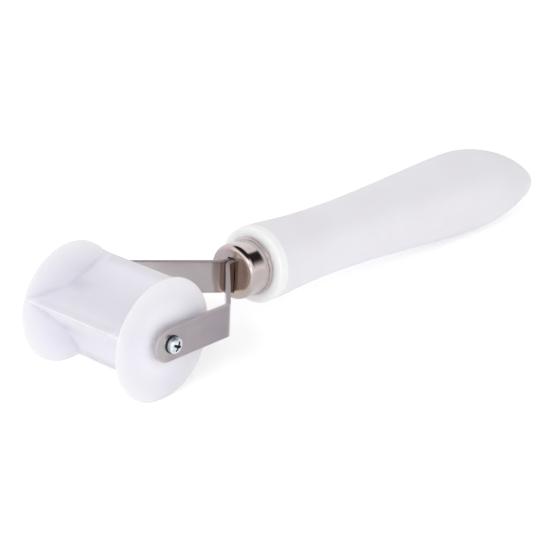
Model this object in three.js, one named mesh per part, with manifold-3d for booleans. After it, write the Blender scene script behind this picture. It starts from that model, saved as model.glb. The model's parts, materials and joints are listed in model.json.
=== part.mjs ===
// Pastry cutting roller: a plastic spool with three cross blades that turns in a fork of two bent steel
// strips, which a bright ferrule holds in a plastic handle. Millimetres, +Z up.
// In the tool's own frame the roller turns about Y through the origin and X runs back along the handle.
// The finished tool lies on a worktop at Z = 0, on both rims of its roller and the swell of its handle.
import * as THREE from 'three';
import { mergeVertices } from 'three/addons/utils/BufferGeometryUtils.js';
import Module from 'manifold-3d';

const wasm = await Module();
wasm.setup();

// Cutting roller
const RIM_RADIUS = 21;
const ROLLER_WIDTH = 43.6;
const CORE_RADIUS = 7.4; // from the axis to the bottom of a pocket
const FLANGE_SLOPE = 3.9; // along the axis, from a rim's outer face to the foot of its inner slope
const RIM_LAND = 0.4; // flat left on the cutting edge of a rim
const HUB_RISE = 1.4; // the outer faces are domed: their middles stand this much further out
const BLADE_COUNT = 3;
const BLADE_LAND = 0.5;
const BLADE_SETBACK = 0.1; // blades stand this much below the rims
const BLADE_PHASE = THREE.MathUtils.degToRad(17.2); // first blade, from straight ahead towards up

// Axle
const AXLE_RADIUS = 3;
const SPACER_RADIUS = 4;
const SPACER_THICKNESS = 0.6;
const SCREW_RADIUS = 1.5;
const SCREW_LENGTH = 11; // under the head
const HEAD_RADIUS = 2.75;
const HEAD_HEIGHT = 2.8;
const HEAD_WALL = 1.5; // straight part of the head's side, under the dome
const RECESS_SPAN = 3.2;
const RECESS_WIDTH = 0.8;
const RECESS_DEPTH = 1.2;
const LOCK_WASHER_RADIUS = 3.05;
const LOCK_WASHER_THICKNESS = 0.5;

// Fork
const STRIP_WIDTH = 11.8;
const STRIP_THICKNESS = 1.5;
const BEND_RADIUS = 2; // inside of a bend
const SPREAD_ANGLE = THREE.MathUtils.degToRad(43); // of each strip away from the fork's middle
const REAR_CLEARANCE = 5.9; // from the back of the rims to the corner of an arm
const ARM_NOSE = 7.2; // from the axle's centre to the round front end of an arm
const TANG_LENGTH = 34; // of each strip, behind the ferrule's face
const TANG_SPACE = 0.3; // between the two strips in the handle
const MOUTH_GAP = 1.68; // straight stretch of a strip in front of the ferrule
const FORK_DROP = 1.75; // the roller's axis lies this much below the handle's axis
const FORK_RISE = THREE.MathUtils.degToRad(0.92); // the fork climbs this much from the roller to the handle

// Ferrule
const FERRULE_RADIUS = 9.9;
const FERRULE_LENGTH = 10.2;
const FERRULE_WALL = 0.9;
const FERRULE_FACE = 1.2; // thickness of its front
const FERRULE_EDGE = 1.2; // radius of its front edge
const BEAD_WIDTH = 2.4;
const BEAD_HEIGHT = 0.9;
const SLOT_SIDE_GAP = 0.35; // between a strip and the slot's side
const SLOT_END_GAP = 0.3;
const PIN_RADIUS = 1.5;
const PIN_SETBACK = 5.8; // from the ferrule's face to the tang pin

// Handle, measured from the front of its collar
const COLLAR_RADIUS = 13.8;
const COLLAR_EDGE = 2.7;
const COLLAR_LAND = 1.8; // from the end of the rounded edge to the collar's widest ring
const WAIST_RADIUS = 12.56;
const WAIST_PLACE = 37.2;
const SWELL_RADIUS = 16.17;
const SWELL_PLACE = 122.7;
const HANDLE_LENGTH = 171.8;
const HANDLE_LEAN = THREE.MathUtils.degToRad(0.41); // the centre line falls by this angle from the collar on
const DROOP_PLACE = 115.4; // the centre line is straight up to here, then bends down to the end
const END_DROP = 6.15; // the bend lowers the end's centre by this much

// Fullness of the handle's curves: how far each end's direction carries, as a share of the run between them
const COLLAR_CARRY = 0.35;
const WAIST_CARRY_FRONT = 0.63;
const WAIST_CARRY_REAR = 0.354;
const SWELL_CARRY_FRONT = 0.2175;
const SWELL_CARRY_REAR = 0.445;
const END_CARRY = 0.312; // of the swell's radius

// Clearances
const RUNNING_CLEARANCE = 0.15; // round a turning or fitted shaft
const SEAT_GAP = 0.3; // between faces that meet
const OVERSHOOT = 10; // cutting bodies run this far past what they cut

// Smoothness
const RIM_SEGMENTS = 72;
const HANDLE_SEGMENTS = 40;
const HANDLE_STEPS = 12;
const SMALL_SEGMENTS = 24;
const CURVE_STEPS = 8;
const BEND_STEPS = 5;

// Places in the tool's own frame
const rollerFace = ROLLER_WIDTH / 2;
const hubFace = rollerFace + HUB_RISE;
const armGap = SPACER_THICKNESS + 2 * SEAT_GAP;
const armInside = hubFace + armGap;
const armOutside = armInside + STRIP_THICKNESS;
const armLine = (armInside + armOutside) / 2;
const tangLine = (STRIP_THICKNESS + TANG_SPACE) / 2;
const bendLineRadius = BEND_RADIUS + STRIP_THICKNESS / 2;
const armCorner = RIM_RADIUS + REAR_CLEARANCE;
const tangCorner = armCorner + (armLine - tangLine) / Math.tan(SPREAD_ANGLE);
const ferruleFront = tangCorner + bendLineRadius * Math.tan(SPREAD_ANGLE / 2) + MOUTH_GAP;
const ferruleBore = FERRULE_RADIUS - FERRULE_WALL;
const neckRadius = ferruleBore - SEAT_GAP;
const neckFront = ferruleFront + FERRULE_FACE + SEAT_GAP;
const collarFront = ferruleFront + FERRULE_LENGTH + SEAT_GAP;
const tangEnd = ferruleFront + TANG_LENGTH;
const pinPlace = ferruleFront + PIN_SETBACK;
const slotDrop = FORK_DROP - ferruleFront * Math.tan(FORK_RISE);
const pinDrop = FORK_DROP - pinPlace * Math.sin(FORK_RISE);
const axleHole = SCREW_RADIUS + RUNNING_CLEARANCE;

// Materials
const rollerPlastic = plastic(0xe9e8f0, 0.55);
const handlePlastic = plastic(0xe9e8f0, 0.5);
const naturalNylon = plastic(0xf2f2f0, 0.5);
const blackRing = plastic(0x151515, 0.6);
const stripSteel = metal(0xa59ea6, 0.3);
const plainSteel = metal(0xb4b4b8, 0.35);
const brightPlate = metal(0xc8beb8, 0.15);
const zincPlate = metal(0xc4ced8, 0.25);

function plastic(color, roughness) {
  return new THREE.MeshStandardMaterial({ color, roughness, metalness: 0 });
}

function metal(color, roughness) {
  return new THREE.MeshStandardMaterial({ color, roughness, metalness: 1 });
}

// Turns a closed geometry into a solid: shared corners are merged and collapsed triangles left out.
function solid(geometry) {
  const bare = geometry.clone();
  bare.deleteAttribute('normal');
  bare.deleteAttribute('uv');
  const merged = mergeVertices(bare, 1e-4);
  const index = merged.index.array;
  const triVerts = [];
  for (let i = 0; i < index.length; i += 3) {
    const [a, b, c] = [index[i], index[i + 1], index[i + 2]];
    if (a !== b && b !== c && c !== a) triVerts.push(a, b, c);
  }
  const vertProperties = new Float32Array(merged.attributes.position.array);
  const mesh = new wasm.Mesh({ numProp: 3, vertProperties, triVerts: new Uint32Array(triVerts) });
  return new wasm.Manifold(mesh);
}

// Gives a solid's surface back as a named mesh.
function piece(name, body, material) {
  const { vertProperties, triVerts } = body.getMesh();
  const geometry = new THREE.BufferGeometry();
  geometry.setAttribute('position', new THREE.BufferAttribute(new Float32Array(vertProperties), 3));
  geometry.setIndex(new THREE.BufferAttribute(new Uint32Array(triVerts), 1));
  geometry.computeVertexNormals();
  const mesh = new THREE.Mesh(geometry, material);
  mesh.name = name;
  return mesh;
}

// A round body about Y from points of (radius, place along Y), listed from low Y to high along the outside.
function turnedAboutY(points, segments, start = 0) {
  return new THREE.LatheGeometry(points, segments, start);
}

// A round body about X from points of (place along X, radius).
function turnedAboutX(points, segments) {
  const profile = points.map((p) => new THREE.Vector2(p.y, p.x));
  return new THREE.LatheGeometry(profile, segments).rotateZ(-Math.PI / 2);
}

// A plain ring or tube about Y, between two places along it.
function tube(innerRadius, outerRadius, low, high, segments) {
  const corners = [
    [innerRadius, low],
    [outerRadius, low],
    [outerRadius, high],
    [innerRadius, high],
    [innerRadius, low],
  ];
  return turnedAboutY(corners.map(([r, y]) => new THREE.Vector2(r, y)), segments);
}

// A round bar along Y, centred on the X axis at the given place, for pins and for drilling.
function barAlongY(radius, length, x, y) {
  return new THREE.CylinderGeometry(radius, radius, length, SMALL_SEGMENTS).translate(x, y, 0);
}

// The spool: a core with a sloped, domed flange at each end, crossed by the blades, and bored for its axle.
function cuttingRoller() {
  const slopeFoot = rollerFace - FLANGE_SLOPE;
  const slopeTop = rollerFace - RIM_LAND;
  const half = [
    [CORE_RADIUS, slopeFoot],
    [RIM_RADIUS, slopeTop],
  ];
  for (let i = CURVE_STEPS; i >= 0; i -= 1) {
    const share = i / CURVE_STEPS;
    half.push([RIM_RADIUS * share, rollerFace + HUB_RISE * (1 - share * share)]);
  }
  const otherHalf = half.map(([r, y]) => [r, -y]).reverse();
  const corners = [...otherHalf, ...half].map(([r, y]) => new THREE.Vector2(r, y));
  const spool = solid(turnedAboutY(corners, RIM_SEGMENTS, BLADE_PHASE));

  // Blades: a star in cross-section, its points at the blades' edges and its notches at the pockets' bottoms.
  const star = new THREE.Shape();
  const centre = new THREE.Vector2();
  const edgeRadius = RIM_RADIUS - BLADE_SETBACK;
  const step = (2 * Math.PI) / BLADE_COUNT;
  for (let i = 0; i < BLADE_COUNT; i += 1) {
    const angle = i * step;
    for (const side of [-1, 1]) {
      const corner = new THREE.Vector2(edgeRadius, (side * BLADE_LAND) / 2).rotateAround(centre, angle);
      if (i === 0 && side === -1) star.moveTo(corner.x, corner.y);
      else star.lineTo(corner.x, corner.y);
    }
    star.lineTo(CORE_RADIUS * Math.cos(angle + step / 2), CORE_RADIUS * Math.sin(angle + step / 2));
  }
  star.closePath();
  const length = ROLLER_WIDTH - RIM_LAND;
  const prism = new THREE.ExtrudeGeometry(star, { depth: length, bevelEnabled: false });
  // The star's first point looks along +X and its second axis becomes +Z, then it is turned to its phase.
  prism.translate(0, 0, -length / 2).rotateX(Math.PI / 2).rotateY(Math.PI + BLADE_PHASE);
  const drill = barAlongY(AXLE_RADIUS + RUNNING_CLEARANCE, ROLLER_WIDTH + OVERSHOOT, 0, 0);
  return spool.add(solid(prism)).subtract(solid(drill));
}

// Outline of a strip in plan, bent along a line of points: straight runs joined by arcs.
function bentStrip(line) {
  const half = STRIP_THICKNESS / 2;
  const runs = line.slice(1).map((p, i) => p.clone().sub(line[i]).normalize());
  const across = (run) => new THREE.Vector2(-run.y, run.x);
  const left = [];
  const right = [];
  const addPair = (point, normal) => {
    left.push(point.clone().addScaledVector(normal, half));
    right.push(point.clone().addScaledVector(normal, -half));
  };
  addPair(line[0], across(runs[0]));
  for (let i = 1; i < runs.length; i += 1) {
    const turn = Math.asin(runs[i - 1].cross(runs[i]));
    const side = Math.sign(turn);
    const setback = bendLineRadius * Math.tan(Math.abs(turn) / 2);
    const start = line[i].clone().addScaledVector(runs[i - 1], -setback);
    const centre = start.clone().addScaledVector(across(runs[i - 1]), side * bendLineRadius);
    for (let k = 0; k <= BEND_STEPS; k += 1) {
      const normal = across(runs[i - 1]).rotateAround(new THREE.Vector2(), (turn * k) / BEND_STEPS);
      addPair(centre.clone().addScaledVector(normal, -side * bendLineRadius), normal);
    }
  }
  addPair(line[line.length - 1], across(runs[runs.length - 1]));
  return new THREE.Shape([...left, ...right.reverse()]);
}

// One arm of the fork: tang in the handle, slanted run, and the arm beside the roller with its round nose.
function forkArm(side) {
  const line = [
    new THREE.Vector2(tangEnd, side * tangLine),
    new THREE.Vector2(tangCorner, side * tangLine),
    new THREE.Vector2(armCorner, side * armLine),
    new THREE.Vector2(-ARM_NOSE, side * armLine),
  ];
  const plan = new THREE.ExtrudeGeometry(bentStrip(line), { depth: STRIP_WIDTH, bevelEnabled: false });
  plan.translate(0, 0, -STRIP_WIDTH / 2);

  // Side view of the strip, longer at the tang than needed, with the round nose.
  const noseRadius = STRIP_WIDTH / 2;
  const noseCentre = noseRadius - ARM_NOSE;
  const pastTang = tangEnd + OVERSHOOT;
  const pastEdge = noseRadius + OVERSHOOT;
  const outline = new THREE.Shape();
  outline.moveTo(pastTang, -pastEdge);
  outline.lineTo(pastTang, pastEdge);
  outline.lineTo(noseCentre, pastEdge);
  outline.lineTo(noseCentre, noseRadius);
  outline.absarc(noseCentre, 0, noseRadius, Math.PI / 2, (3 * Math.PI) / 2, false);
  outline.lineTo(noseCentre, -pastEdge);
  outline.closePath();
  const depth = 2 * (armOutside + OVERSHOOT);
  const settings = { depth, bevelEnabled: false, curveSegments: 2 * CURVE_STEPS };
  const sideView = new THREE.ExtrudeGeometry(outline, settings);
  sideView.translate(0, 0, -depth / 2).rotateX(Math.PI / 2);

  const screwHole = solid(barAlongY(axleHole, depth, 0, 0));
  const pinHole = solid(barAlongY(PIN_RADIUS + RUNNING_CLEARANCE, depth, pinPlace, 0));
  return solid(plan).intersect(solid(sideView)).subtract(screwHole).subtract(pinHole);
}

// Pan-head screw along Y: its head sits on Y = 0 and rises to +Y, with a cross recess in the dome.
function axleScrew() {
  const profile = new THREE.Path();
  profile.moveTo(0, -SCREW_LENGTH);
  profile.lineTo(SCREW_RADIUS, -SCREW_LENGTH);
  profile.lineTo(SCREW_RADIUS, 0);
  profile.lineTo(HEAD_RADIUS, 0);
  profile.lineTo(HEAD_RADIUS, HEAD_WALL);
  profile.quadraticCurveTo(HEAD_RADIUS, HEAD_HEIGHT, 0, HEAD_HEIGHT);
  const body = solid(turnedAboutY(profile.getPoints(CURVE_STEPS), SMALL_SEGMENTS));
  const bar = new THREE.BoxGeometry(RECESS_SPAN, 2 * RECESS_DEPTH, RECESS_WIDTH).translate(0, HEAD_HEIGHT, 0);
  const crossBar = bar.clone().rotateY(Math.PI / 2);
  return body.subtract(solid(bar)).subtract(solid(crossBar));
}

// Ferrule: a deep cap with a rounded front edge, a bead at the rear and a slot in its face for the strips.
function ferrule() {
  const rear = ferruleFront + FERRULE_LENGTH;
  const beadFront = rear - BEAD_WIDTH;
  const profile = new THREE.Path();
  profile.moveTo(ferruleFront, 0);
  profile.lineTo(ferruleFront, FERRULE_RADIUS - FERRULE_EDGE);
  const edgeCentre = [ferruleFront + FERRULE_EDGE, FERRULE_RADIUS - FERRULE_EDGE];
  profile.absarc(...edgeCentre, FERRULE_EDGE, Math.PI, Math.PI / 2, true);
  profile.lineTo(beadFront, FERRULE_RADIUS);
  profile.absellipse(rear - BEAD_WIDTH / 2, FERRULE_RADIUS, BEAD_WIDTH / 2, BEAD_HEIGHT, Math.PI, 0, true);
  profile.lineTo(rear, ferruleBore);
  profile.lineTo(ferruleFront + FERRULE_FACE, ferruleBore);
  profile.lineTo(ferruleFront + FERRULE_FACE, 0);
  const cap = solid(turnedAboutX(profile.getPoints(CURVE_STEPS / 2), HANDLE_SEGMENTS));
  const slotWidth = 2 * (STRIP_THICKNESS + SLOT_SIDE_GAP) + TANG_SPACE;
  const slotHeight = STRIP_WIDTH + 2 * SLOT_END_GAP;
  const slot = new THREE.BoxGeometry(2 * (FERRULE_FACE + SEAT_GAP), slotWidth, slotHeight);
  slot.translate(ferruleFront, 0, -slotDrop);
  return cap.subtract(solid(slot));
}

// Outline of the handle from its neck to its rounded end, as points of (place along X, radius).
function handleOutline() {
  const collarRing = collarFront + COLLAR_EDGE + COLLAR_LAND;
  const waist = collarFront + WAIST_PLACE;
  const swell = collarFront + SWELL_PLACE;
  const end = collarFront + HANDLE_LENGTH;
  const path = new THREE.Path();
  path.moveTo(neckFront, 0);
  path.lineTo(neckFront, neckRadius);
  path.lineTo(collarFront, neckRadius);
  path.lineTo(collarFront, COLLAR_RADIUS - COLLAR_EDGE);
  path.quadraticCurveTo(collarFront, COLLAR_RADIUS, collarRing, COLLAR_RADIUS);

  const toWaist = waist - collarRing;
  const leaveCollar = [collarRing + COLLAR_CARRY * toWaist, COLLAR_RADIUS];
  const reachWaist = [waist - WAIST_CARRY_FRONT * toWaist, WAIST_RADIUS];
  path.bezierCurveTo(...leaveCollar, ...reachWaist, waist, WAIST_RADIUS);

  const toSwell = swell - waist;
  const leaveWaist = [waist + WAIST_CARRY_REAR * toSwell, WAIST_RADIUS];
  const reachSwell = [swell - SWELL_CARRY_FRONT * toSwell, SWELL_RADIUS];
  path.bezierCurveTo(...leaveWaist, ...reachSwell, swell, SWELL_RADIUS);

  const leaveSwell = [swell + SWELL_CARRY_REAR * (end - swell), SWELL_RADIUS];
  path.bezierCurveTo(...leaveSwell, end, END_CARRY * SWELL_RADIUS, end, 0);
  return path.getPoints(HANDLE_STEPS);
}

// How far the handle's centre line lies below its axis.
function droop(x) {
  const past = Math.max(0, x - collarFront);
  const share = Math.max(0, (past - DROOP_PLACE) / (HANDLE_LENGTH - DROOP_PLACE));
  return past * Math.tan(HANDLE_LEAN) + END_DROP * share * share;
}

function handle(outline) {
  const body = turnedAboutX(outline, HANDLE_SEGMENTS);
  const place = body.attributes.position;
  for (let i = 0; i < place.count; i += 1) place.setZ(i, place.getZ(i) - droop(place.getX(i)));
  const tangDepth = tangEnd + SEAT_GAP - neckFront;
  const tangWidth = 2 * (STRIP_THICKNESS + SEAT_GAP) + TANG_SPACE;
  const tangHole = new THREE.BoxGeometry(2 * tangDepth, tangWidth, STRIP_WIDTH + 2 * SEAT_GAP);
  tangHole.translate(neckFront, 0, 0).rotateY(-FORK_RISE).translate(0, 0, -FORK_DROP);
  const pinHole = barAlongY(PIN_RADIUS + RUNNING_CLEARANCE, 2 * (neckRadius + OVERSHOOT), pinPlace, 0);
  pinHole.rotateY(-FORK_RISE).translate(0, 0, -FORK_DROP);
  return solid(body).subtract(solid(tangHole)).subtract(solid(pinHole));
}

// Assembly in the tool's own frame: the fork climbs from the roller's axis to the higher handle.
const outline = handleOutline();

const axleGroup = new THREE.Group();
axleGroup.add(piece('cutting_roller', cuttingRoller(), rollerPlastic));
const sleeveEnd = armInside - SEAT_GAP;
const sleeve = solid(tube(axleHole, AXLE_RADIUS, -sleeveEnd, sleeveEnd, SMALL_SEGMENTS));
axleGroup.add(piece('axle_sleeve', sleeve, plainSteel));

const forkGroup = new THREE.Group();
forkGroup.rotation.y = -FORK_RISE;
const sides = [['near', -1], ['far', 1]];
for (const [label, side] of sides) {
  forkGroup.add(piece(`fork_arm_${label}`, forkArm(side), stripSteel));

  const spacerLow = hubFace + SEAT_GAP;
  const spacerHigh = spacerLow + SPACER_THICKNESS;
  const spacer = tube(AXLE_RADIUS + RUNNING_CLEARANCE, SPACER_RADIUS, spacerLow, spacerHigh, SMALL_SEGMENTS);
  const lockLow = armOutside + SEAT_GAP;
  const lockHigh = lockLow + LOCK_WASHER_THICKNESS;
  const lockWasher = tube(axleHole, LOCK_WASHER_RADIUS, lockLow, lockHigh, SMALL_SEGMENTS);

  // These three are made for the far side and turned over for the near one.
  const stack = new THREE.Group();
  stack.add(piece(`spacer_washer_${label}`, solid(spacer), naturalNylon));
  stack.add(piece(`screw_washer_${label}`, solid(lockWasher), blackRing));
  const screw = piece(`axle_screw_${label}`, axleScrew(), zincPlate);
  screw.position.y = lockHigh + SEAT_GAP;
  stack.add(screw);
  stack.rotation.x = side < 0 ? Math.PI : 0;
  axleGroup.add(stack);
}

const pinLength = 2 * Math.sqrt(neckRadius ** 2 - (Math.abs(pinDrop) + PIN_RADIUS) ** 2);
forkGroup.add(piece('tang_pin', solid(barAlongY(PIN_RADIUS, pinLength, pinPlace, 0)), plainSteel));

const handleGroup = new THREE.Group();
handleGroup.add(piece('ferrule', ferrule(), brightPlate));
handleGroup.add(piece('handle', handle(outline), handlePlastic));
handleGroup.position.z = FORK_DROP;

// The tool tips back about the roller's axis until the handle's underside is level with the rims' bottom.
const underside = outline.map((p) => new THREE.Vector2(p.x, FORK_DROP - droop(p.x) - p.y));
const tipBack = Math.min(...underside.map((p) => Math.asin(RIM_RADIUS / p.length()) + Math.atan2(p.y, p.x)));
const tool = new THREE.Group();
tool.add(axleGroup, forkGroup, handleGroup);
tool.rotation.y = tipBack;
tool.updateMatrixWorld(true);

// The origin is on the worktop, under the middle of the tool.
const box = new THREE.Box3().setFromObject(tool, true);
const middle = box.getCenter(new THREE.Vector3());
tool.position.set(-middle.x, -middle.y, -box.min.z);

const part = new THREE.Group();
part.add(tool);
part.updateMatrixWorld(true);

export default part;
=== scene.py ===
# %% [markdown]
# # A pastry cutting roller
# The tool is a white plastic roller with two knife rims and three cross blades. It turns in a fork
# of two bent steel strips, and a plated ferrule holds the fork in a white plastic handle.
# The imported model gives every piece's place and size. This lesson gives each piece a finer surface
# and a finish, and leaves the model itself where it is.

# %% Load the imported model
import json
import math

import bmesh
import bpy
import numpy as np
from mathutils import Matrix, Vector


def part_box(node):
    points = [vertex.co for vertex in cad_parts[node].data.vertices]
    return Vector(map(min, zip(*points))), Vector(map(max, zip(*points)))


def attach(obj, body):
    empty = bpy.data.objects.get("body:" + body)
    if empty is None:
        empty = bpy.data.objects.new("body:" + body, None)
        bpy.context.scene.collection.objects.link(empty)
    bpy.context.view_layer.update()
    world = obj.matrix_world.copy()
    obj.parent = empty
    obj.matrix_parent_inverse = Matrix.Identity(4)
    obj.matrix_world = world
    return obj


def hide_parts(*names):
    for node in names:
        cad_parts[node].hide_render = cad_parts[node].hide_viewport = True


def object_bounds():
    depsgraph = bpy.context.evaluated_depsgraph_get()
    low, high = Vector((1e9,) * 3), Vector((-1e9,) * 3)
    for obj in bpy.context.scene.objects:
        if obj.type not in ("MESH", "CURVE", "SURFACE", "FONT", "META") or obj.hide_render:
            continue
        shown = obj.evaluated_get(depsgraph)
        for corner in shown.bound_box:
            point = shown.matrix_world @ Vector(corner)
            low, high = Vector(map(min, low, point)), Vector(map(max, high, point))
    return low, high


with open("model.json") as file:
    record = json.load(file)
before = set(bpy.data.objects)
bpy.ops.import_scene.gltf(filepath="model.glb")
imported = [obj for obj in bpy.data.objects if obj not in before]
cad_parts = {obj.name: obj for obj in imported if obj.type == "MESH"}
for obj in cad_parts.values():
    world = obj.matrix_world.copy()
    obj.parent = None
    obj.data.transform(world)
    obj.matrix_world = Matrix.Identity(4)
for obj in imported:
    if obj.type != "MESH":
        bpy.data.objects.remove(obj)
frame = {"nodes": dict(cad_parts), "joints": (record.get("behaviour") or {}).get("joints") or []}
CAD_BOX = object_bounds()
FORK_BODY = "fork_and_handle"
ROLLER_BODY = "roller"

# %% [markdown]
# ## The tool's own frame
# The tool lies on the worktop with its roller and the swell of its handle touching, so it is tipped
# a little. Shapes are easier to write along the tool itself: millimetres, X from the roller's axle
# back along the handle, Y along the axle, Z up. The hinge gives the axle, and the pin in the tang
# lies on the fork's middle line, so those two points give the fork's tip. The handle's differs from
# it by the fork's own rise: the fork climbs a little on its way to the handle.

# %% Tool frame
MM = 0.001
AXLE = np.array(frame["joints"][0]["pos_m"])
pin_low, pin_high = (np.array(corner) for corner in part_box("tang_pin"))
to_pin = (pin_low + pin_high) / 2 - AXLE
FORK_RISE = math.radians(0.92)
TIP = math.atan2(-to_pin[2], to_pin[0]) + FORK_RISE
TOOL_AXES = np.array([
    [math.cos(TIP), 0.0, -math.sin(TIP)],
    [0.0, 1.0, 0.0],
    [math.sin(TIP), 0.0, math.cos(TIP)],
])


def in_part_frame(points):
    """Turn tool millimetres into the part's metres: along the three axes, then out from the axle."""
    return AXLE + np.asarray(points) * MM @ TOOL_AXES


def raised(points, angle):
    """Turn tool points about the axle so that X climbs by an angle."""
    along, sideways, up = np.moveaxis(np.asarray(points), -1, 0)
    climb = along * math.sin(angle) + up * math.cos(angle)
    return np.stack([along * math.cos(angle) - up * math.sin(angle), sideways, climb], axis=-1)


def tool_box(node, rise=0.0):
    """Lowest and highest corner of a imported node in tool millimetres, along axes that climb."""
    mesh = frame["nodes"][node].data
    places = np.empty(3 * len(mesh.vertices))
    mesh.vertices.foreach_get("co", places)
    local = raised((places.reshape(-1, 3) - AXLE) @ TOOL_AXES.T / MM, -rise)
    return local.min(axis=0), local.max(axis=0)


print("tipped by", round(math.degrees(TIP), 3), "degrees")

# %% [markdown]
# ## Camera
# The view is a long lens from the left, a little above. A camera can be set by eye, but here its
# angle, its distance and the picture's size were worked out from the ellipses of the two rims, so
# they are written as numbers: the angles, the distance to the axle, and the pixel the axle falls on.

# %% Camera at the photograph's angle
PICTURE = 550
VIEW_AZIMUTH = math.radians(-49.9065)
VIEW_ELEVATION = math.radians(21.8336)
VIEW_ROLL = math.radians(3.180)
VIEW_DISTANCE = 630.0
FOCAL_PIXELS = 1938.31
AXLE_PIXEL = (115.191, 320.087)
SENSOR = 36.0

level_share = math.cos(VIEW_ELEVATION)
TO_CAMERA = np.array([
    math.sin(VIEW_AZIMUTH) * level_share,
    -math.cos(VIEW_AZIMUTH) * level_share,
    math.sin(VIEW_ELEVATION),
])
level_right = np.array([math.cos(VIEW_AZIMUTH), math.sin(VIEW_AZIMUTH), 0.0])
level_up = np.cross(TO_CAMERA, level_right)
view_right = math.cos(VIEW_ROLL) * level_right + math.sin(VIEW_ROLL) * level_up
view_up = math.cos(VIEW_ROLL) * level_up - math.sin(VIEW_ROLL) * level_right
pixel_size = VIEW_DISTANCE / FOCAL_PIXELS
aside = (PICTURE / 2 - AXLE_PIXEL[0]) * pixel_size * view_right
above = (AXLE_PIXEL[1] - PICTURE / 2) * pixel_size * view_up

camera_data = bpy.data.cameras.new("camera")
camera_data.sensor_width = SENSOR
camera_data.lens = FOCAL_PIXELS / PICTURE * SENSOR
camera = bpy.data.objects.new("camera", camera_data)
placing = np.eye(4)
placing[:3, :3] = (np.array([view_right, view_up, TO_CAMERA]) @ TOOL_AXES).T
placing[:3, 3] = in_part_frame(VIEW_DISTANCE * TO_CAMERA + aside + above)
camera.matrix_world = placing.T.tolist()
bpy.context.scene.collection.objects.link(camera)
bpy.context.scene.camera = camera
print("lens", round(camera_data.lens, 1), "mm at", np.round(placing[:3, 3], 3))

# %% [markdown]
# ## From grid to mesh
# Every new piece is a grid of points: one direction runs along an outline, the other round an axis
# or along a path. A grid that meets itself is joined by number, and points that fall together, as
# at a pole, are welded. Normals are then recalculated so that all faces look outwards.
# An attribute called place carries what a finish needs to know about a point, in millimetres.

# %% Grid helpers
WELD = 1e-7
SHARP = math.radians(38)


def grid_faces(rows, columns, joined_rows, joined_columns):
    """Corner numbers of a grid's quads; a joined direction runs on from its last line to its first."""
    numbers = np.arange(rows * columns).reshape(rows, columns)
    if joined_rows:
        numbers = np.vstack([numbers, numbers[:1]])
    if joined_columns:
        numbers = np.hstack([numbers, numbers[:, :1]])
    corners = (numbers[:-1, :-1], numbers[1:, :-1], numbers[1:, 1:], numbers[:-1, 1:])
    return np.stack(corners, axis=-1).reshape(-1, 4)


def grid_mesh(name, points, place, joined_rows=True, joined_columns=True):
    """Mesh of a grid of tool points, with its place attribute, welded and facing outwards."""
    rows, columns = points.shape[:2]
    faces = grid_faces(rows, columns, joined_rows, joined_columns)
    mesh = bpy.data.meshes.new(name)
    mesh.from_pydata(in_part_frame(points.reshape(-1, 3)).tolist(), [], faces.tolist())
    attribute = mesh.attributes.new("place", "FLOAT_VECTOR", "POINT")
    attribute.data.foreach_set("vector", place.reshape(-1, 3).astype(np.float32).ravel())
    welder = bmesh.new()
    welder.from_mesh(mesh)
    bmesh.ops.remove_doubles(welder, verts=welder.verts, dist=WELD)
    bmesh.ops.recalc_face_normals(welder, faces=welder.faces)
    welder.to_mesh(mesh)
    welder.free()
    mesh.shade_smooth()
    mesh.set_sharp_from_angle(angle=SHARP)
    return mesh


def add_piece(node, mesh, body, finish):
    """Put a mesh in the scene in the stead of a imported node, on its body and with its finish."""
    piece = bpy.data.objects.new(mesh.name, mesh)
    bpy.context.scene.collection.objects.link(piece)
    mesh.materials.append(finish)
    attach(piece, body)
    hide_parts(node)
    print(piece.name, "has", len(mesh.polygons), "faces")
    return piece


def arc(along, out, radius, start, stop, steps):
    """Points of an arc in an outline's plane, centre (along, out), angles in degrees from along."""
    angle = np.radians(np.linspace(start, stop, steps))
    return np.column_stack([along + radius * np.cos(angle), out + radius * np.sin(angle)])


def bezier(start, first, second, stop, steps):
    """Points of a cubic curve: the four control points weighted by the cubic's own shares."""
    t = np.linspace(0.0, 1.0, steps)[:, None]
    points = [np.array(point, float) for point in (start, first, second, stop)]
    shares = [(1 - t) ** 3, 3 * t * (1 - t) ** 2, 3 * t * t * (1 - t), t ** 3]
    return sum(share * point for share, point in zip(shares, points))


def about_axle(along, radius, angles):
    """Points at places along Y, radii and angles about the axle; angle 0 points ahead, 90 up."""
    return np.stack([-radius * np.cos(angles), along, radius * np.sin(angles)], axis=-1)


def full_turn(steps):
    """Equal angles once round, without repeating the first."""
    return np.linspace(0.0, 2 * math.pi, steps, endpoint=False)


print("welding points closer than", WELD / MM, "mm")

# %% [markdown]
# ## Shader sums
# A finish is a graph of nodes, but a long list of node and link calls hides the idea. One small
# class wraps a socket so that ordinary sums add Math nodes, and one method adds any other node.

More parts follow.
